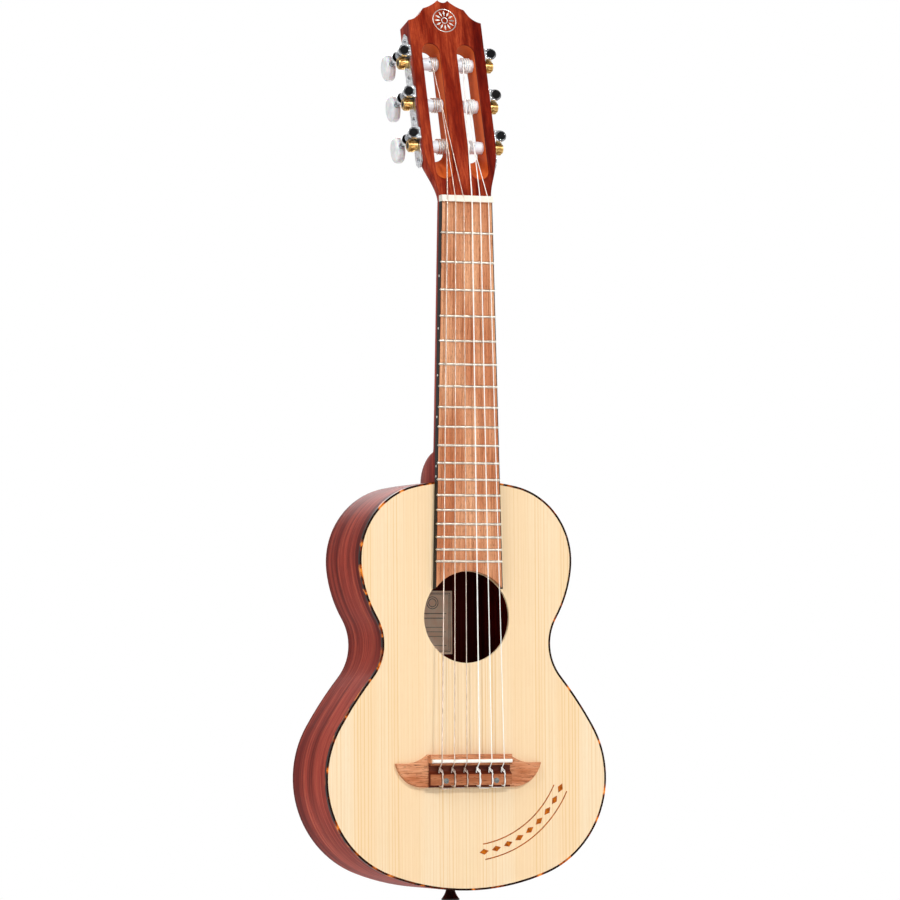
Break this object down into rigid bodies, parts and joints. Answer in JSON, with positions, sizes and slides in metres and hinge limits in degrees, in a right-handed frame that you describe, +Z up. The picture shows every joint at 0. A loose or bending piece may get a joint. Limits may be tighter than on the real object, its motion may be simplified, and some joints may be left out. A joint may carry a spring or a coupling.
{
  "type": "guitalele",
  "caption": "Small flat-top guitar with a slotted head, nylon and wound strings, worm-geared tuners, tie bridge and tortoise binding.",
  "frame": {"origin": "centreline point where a wall hanger holds the neck under the head, level with the front face of the soundboard", "axes": "+Z up the neck, +Y from the soundboard to the back, +X to the treble side"},
  "size_m": [0.234, 0.0886, 0.7093],
  "materials": {
    "spruce": "satin lacquered spruce",
    "mahogany": "satin red-brown mahogany",
    "red_veneer": "satin dark red veneer",
    "pale_wood": "bare wood",
    "walnut": "oiled walnut",
    "tortoise": "tortoise-pattern plastic",
    "label_card": "printed paper",
    "fret_metal": "polished nickel silver",
    "pearl": "pearl",
    "ivory_plastic": "polished ivory plastic",
    "chrome_plate": "polished, engraved",
    "black_plastic": "polished black",
    "steel": "polished",
    "wound_string": "silver-plated winding on nylon",
    "nylon_string": "clear nylon",
    "button_plastic": "white pearl plastic",
    "gear_brass": "polished brass",
    "roller_plastic": "white nylon"
  },
  "bodies": {
    "instrument": {"soundboard": "spruce", "back_plate": "mahogany", "bass_rib": "mahogany", "treble_rib": "mahogany", "binding": "tortoise", "neck": "mahogany", "head_veneer": "red_veneer", "head_block": "pale_wood", "tail_block": "pale_wood", "top_lining": "pale_wood", "back_lining": "pale_wood", "top_braces": "spruce", "back_braces": "spruce", "bridge_plate": "pale_wood", "label": "label_card", "fretboard": "walnut", "frets": "fret_metal", "side_dots": "pearl", "nut": "ivory_plastic", "saddle": "ivory_plastic", "bridge": "walnut", "bridge_dots": "pearl", "bass_tuner_plate": "chrome_plate", "treble_tuner_plate": "chrome_plate", "lug_bushings": "black_plastic", "plate_screws": "steel", "strap_button": "black_plastic", "strap_button_screw": "steel", "string_6": "wound_string", "string_5": "wound_string", "string_4": "wound_string", "string_3": "nylon_string", "string_2": "nylon_string", "string_1": "nylon_string"},
    "knob_6": {"tuner_6_worm": "steel", "tuner_6_button": "button_plastic"},
    "roller_6": {"tuner_6_gear": "gear_brass", "tuner_6_roller": "roller_plastic"},
    "knob_5": {"tuner_5_worm": "steel", "tuner_5_button": "button_plastic"},
    "roller_5": {"tuner_5_gear": "gear_brass", "tuner_5_roller": "roller_plastic"},
    "knob_4": {"tuner_4_worm": "steel", "tuner_4_button": "button_plastic"},
    "roller_4": {"tuner_4_gear": "gear_brass", "tuner_4_roller": "roller_plastic"},
    "knob_3": {"tuner_3_worm": "steel", "tuner_3_button": "button_plastic"},
    "roller_3": {"tuner_3_gear": "gear_brass", "tuner_3_roller": "roller_plastic"},
    "knob_2": {"tuner_2_worm": "steel", "tuner_2_button": "button_plastic"},
    "roller_2": {"tuner_2_gear": "gear_brass", "tuner_2_roller": "roller_plastic"},
    "knob_1": {"tuner_1_worm": "steel", "tuner_1_button": "button_plastic"},
    "roller_1": {"tuner_1_gear": "gear_brass", "tuner_1_roller": "roller_plastic"}
  },
  "joints": [
    {"name": "knob_6_turn", "type": "hinge", "parent": "instrument", "child": "knob_6", "pos_m": [-0.0367, 0.02153, 0.03659], "axis": [0, -0.9588, 0.284], "continuous": true},
    {"name": "roller_6_turn", "type": "hinge", "parent": "instrument", "child": "roller_6", "pos_m": [-0.0147, 0.01937, 0.02931], "axis": [1, 0, 0], "continuous": true},
    {"name": "knob_5_turn", "type": "hinge", "parent": "instrument", "child": "knob_5", "pos_m": [-0.0367, 0.03147, 0.07015], "axis": [0, -0.9588, 0.284], "continuous": true},
    {"name": "roller_5_turn", "type": "hinge", "parent": "instrument", "child": "roller_5", "pos_m": [-0.0147, 0.02931, 0.06287], "axis": [1, 0, 0], "continuous": true},
    {"name": "knob_4_turn", "type": "hinge", "parent": "instrument", "child": "knob_4", "pos_m": [-0.0367, 0.04141, 0.10371], "axis": [0, -0.9588, 0.284], "continuous": true},
    {"name": "roller_4_turn", "type": "hinge", "parent": "instrument", "child": "roller_4", "pos_m": [-0.0147, 0.03925, 0.09642], "axis": [1, 0, 0], "continuous": true},
    {"name": "knob_3_turn", "type": "hinge", "parent": "instrument", "child": "knob_3", "pos_m": [0.0367, 0.04141, 0.10371], "axis": [0, -0.9588, 0.284], "continuous": true},
    {"name": "roller_3_turn", "type": "hinge", "parent": "instrument", "child": "roller_3", "pos_m": [0.0147, 0.03925, 0.09642], "axis": [1, 0, 0], "continuous": true},
    {"name": "knob_2_turn", "type": "hinge", "parent": "instrument", "child": "knob_2", "pos_m": [0.0367, 0.03147, 0.07015], "axis": [0, -0.9588, 0.284], "continuous": true},
    {"name": "roller_2_turn", "type": "hinge", "parent": "instrument", "child": "roller_2", "pos_m": [0.0147, 0.02931, 0.06287], "axis": [1, 0, 0], "continuous": true},
    {"name": "knob_1_turn", "type": "hinge", "parent": "instrument", "child": "knob_1", "pos_m": [0.0367, 0.02153, 0.03659], "axis": [0, -0.9588, 0.284], "continuous": true},
    {"name": "roller_1_turn", "type": "hinge", "parent": "instrument", "child": "roller_1", "pos_m": [0.0147, 0.01937, 0.02931], "axis": [1, 0, 0], "continuous": true}
  ],
  "couplings": [
    {"joint": "roller_6_turn", "follows": "knob_6_turn", "ratio": 0.071429},
    {"joint": "roller_5_turn", "follows": "knob_5_turn", "ratio": 0.071429},
    {"joint": "roller_4_turn", "follows": "knob_4_turn", "ratio": 0.071429},
    {"joint": "roller_3_turn", "follows": "knob_3_turn", "ratio": -0.071429},
    {"joint": "roller_2_turn", "follows": "knob_2_turn", "ratio": -0.071429},
    {"joint": "roller_1_turn", "follows": "knob_1_turn", "ratio": -0.071429}
  ]
}
